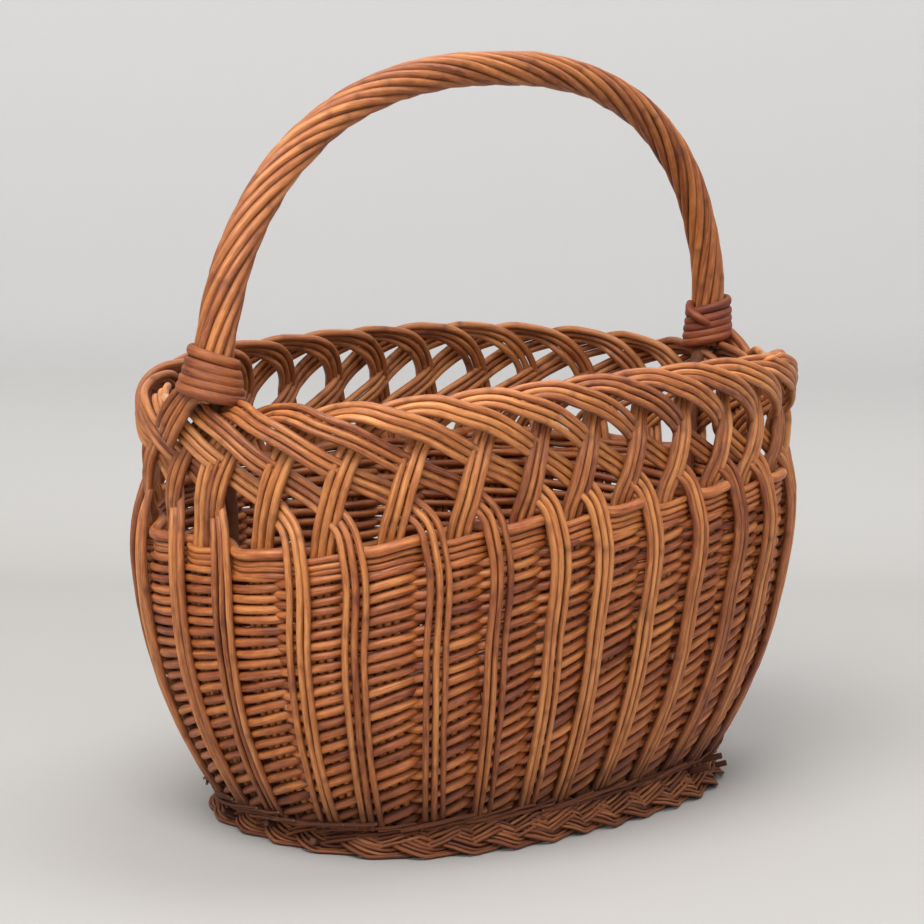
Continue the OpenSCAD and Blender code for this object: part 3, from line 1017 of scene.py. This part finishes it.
AIM = Vector((0, 0, 0.2))
CAMERA_YAW = math.radians(44.5)
CAMERA_RISE = math.radians(8.86)
CAMERA_DISTANCE = 1.7876
CAMERA_LENS = 118.5
CAMERA_ROLL = math.radians(0.45)
CAMERA_SHIFT = (-0.014, -0.0036)
FLOOR_COLOUR = (0.405, 0.396, 0.382)
WALL_COLOUR = (0.53, 0.53, 0.53)
# Distances behind the basket at which the floor begins to curve up and the wall stands.
COVE_START = 0.62
COVE_RADIUS = 0.15


def plaster():
    """Pale matt plaster, a little darker on the floor than up the wall."""
    material = bpy.data.materials.new("pale_floor")
    material.use_nodes = True
    nodes, links = material.node_tree.nodes, material.node_tree.links
    shader = nodes["Principled BSDF"]
    shader.inputs["Roughness"].default_value = 0.85
    place = nodes.new("ShaderNodeTexCoord")
    split = nodes.new("ShaderNodeSeparateXYZ")
    ramp = nodes.new("ShaderNodeValToRGB")
    ramp.color_ramp.elements[0].color = (*FLOOR_COLOUR, 1)
    ramp.color_ramp.elements[1].color = (*WALL_COLOUR, 1)
    ramp.color_ramp.elements[1].position = 0.2
    links.new(place.outputs["Object"], split.inputs[0])
    links.new(split.outputs["Z"], ramp.inputs["Fac"])
    links.new(ramp.outputs["Color"], shader.inputs["Base Color"])
    return material


def stage():
    """A pale floor that curves up into a pale wall behind the basket."""
    profile = [(-3.0, 0.0)]
    for k in range(13):
        angle = math.radians(90 * k / 12)
        distance = COVE_START + COVE_RADIUS * math.sin(angle)
        profile.append((distance, COVE_RADIUS * (1 - math.cos(angle))))
    profile.append((COVE_START + COVE_RADIUS, 3.0))
    forward = Vector((math.sin(CAMERA_YAW), math.cos(CAMERA_YAW), 0))
    right = Vector((forward.y, -forward.x, 0))
    verts = []
    for distance, height in profile:
        for reach in (-4.0, 4.0):
            verts.append(forward * distance + right * reach + Vector((0, 0, height)))
    faces = [(2 * k, 2 * k + 1, 2 * k + 3, 2 * k + 2) for k in range(len(profile) - 1)]
    mesh = bpy.data.meshes.new("floor")
    mesh.from_pydata(verts, [], faces)
    mesh.polygons.foreach_set("use_smooth", [True] * len(mesh.polygons))
    mesh.materials.append(plaster())
    floor = bpy.data.objects.new("floor", mesh)
    bpy.context.scene.collection.objects.link(floor)


def area_light(name, azimuth, elevation, distance, size, power, colour=(1, 1, 1)):
    """A soft light that faces the basket. Azimuth 0 is in front of it, and 90 is to its right."""
    a, e = math.radians(azimuth), math.radians(elevation)
    back = Vector((math.sin(a) * math.cos(e), -math.cos(a) * math.cos(e), math.sin(e)))
    data = bpy.data.lights.new(name, "AREA")
    data.shape = "DISK"
    data.size = size
    data.energy = power
    data.color = colour
    light = bpy.data.objects.new(name, data)
    light.location = AIM + back * distance
    light.rotation_euler = (-back).to_track_quat("-Z", "Y").to_euler()
    bpy.context.scene.collection.objects.link(light)


def camera():
    """Looks at the basket across its left front, from a little above."""
    data = bpy.data.cameras.new("camera")
    eye = bpy.data.objects.new("camera", data)
    back = Vector((-math.sin(CAMERA_YAW) * math.cos(CAMERA_RISE),
                   -math.cos(CAMERA_YAW) * math.cos(CAMERA_RISE),
                   math.sin(CAMERA_RISE)))
    eye.location = AIM + back * CAMERA_DISTANCE
    turn = (-back).to_track_quat("-Z", "Y").to_matrix() @ Matrix.Rotation(CAMERA_ROLL, 3, "Z")
    eye.rotation_euler = turn.to_euler()
    data.lens = CAMERA_LENS
    data.sensor_width = 36
    data.shift_x, data.shift_y = CAMERA_SHIFT
    bpy.context.scene.collection.objects.link(eye)
    bpy.context.scene.camera = eye


stage()
area_light("key", -70, 54, 2.2, 1.8, 54, (1.0, 0.98, 0.95))
area_light("fill", -8, 28, 2.6, 1.8, 9, (0.98, 0.98, 1.0))
area_light("back", 90, 66, 2.2, 1.8, 36)
camera()

world = bpy.data.worlds.new("soft_studio")
world.use_nodes = True
world.node_tree.nodes["Background"].inputs["Color"].default_value = (0.93, 0.94, 0.96, 1)
world.node_tree.nodes["Background"].inputs["Strength"].default_value = 0.64
bpy.context.scene.world = world
bpy.context.scene.view_settings.view_transform = "Standard"

bpy.context.view_layer.update()
